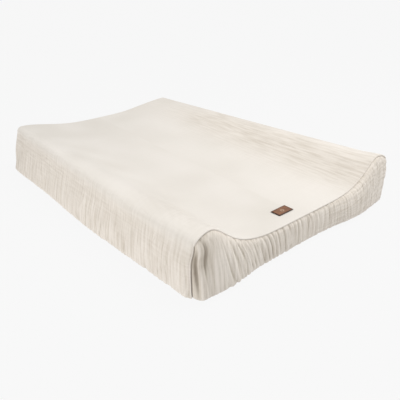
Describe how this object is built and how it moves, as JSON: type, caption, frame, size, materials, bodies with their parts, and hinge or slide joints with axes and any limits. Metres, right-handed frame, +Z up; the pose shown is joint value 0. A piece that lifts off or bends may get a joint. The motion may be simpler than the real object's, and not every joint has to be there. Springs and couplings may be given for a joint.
{
  "type": "baby changing mat",
  "caption": "Contoured baby changing mat with raised side bolsters in a fitted crinkled muslin cover with a small leather label; the foam sits in a zipped wipe-clean liner.",
  "frame": {"origin": "middle of the footprint, on the surface the mat lies on", "axes": "+Y from the foot end, which carries the label, to the head end; +X to the right seen from the foot end; +Z up"},
  "size_m": [0.5, 0.7002, 0.11],
  "materials": {
    "muslin": "matt crinkled double gauze, warm off-white",
    "coated_cloth": "smooth wipe-clean coating, satin sheen",
    "foam": "matt open-cell polyurethane foam",
    "elastic": "matt woven elastic",
    "thread": "matt cotton sewing thread",
    "leather": "brown leather with darker cut edges",
    "satin_tag": "white satin ribbon, blank",
    "zip_tape": "woven polyester tape",
    "zip_teeth": "white nylon coil",
    "zip_metal": "nickel-plated metal"
  },
  "bodies": {
    "pad": {"foam_core": "foam", "liner_top_panel": "coated_cloth", "liner_foot_end": "coated_cloth", "liner_head_end": "coated_cloth", "liner_base_left": "coated_cloth", "liner_base_right": "coated_cloth", "cover_top_panel": "muslin", "cover_foot_end": "muslin", "cover_head_end": "muslin", "hem_casing_left": "muslin", "hem_casing_right": "muslin", "hem_casing_foot": "muslin", "hem_casing_head": "muslin", "hem_elastic": "elastic", "seam_thread_foot": "thread", "seam_thread_head": "thread", "leather_label": "leather", "label_stitching": "thread", "care_tag": "satin_tag", "zip_tape_left": "zip_tape", "zip_tape_right": "zip_tape", "zip_teeth_left": "zip_teeth", "zip_teeth_right": "zip_teeth", "zip_top_stop_left": "zip_metal", "zip_top_stop_right": "zip_metal", "zip_bottom_stop": "zip_metal"},
    "zip_slider": {"zip_slider": "zip_metal"},
    "zip_pull": {"zip_pull": "zip_metal"}
  },
  "joints": [
    {"name": "zip_slide", "type": "slide", "parent": "pad", "child": "zip_slider", "axis": [0, -1, 0], "range_m": [0, 0.491]},
    {"name": "zip_pull_hinge", "type": "hinge", "parent": "zip_slider", "child": "zip_pull", "pos_m": [0, 0.2455, 0.00115], "axis": [1, 0, 0], "range_deg": [0, 180]}
  ]
}
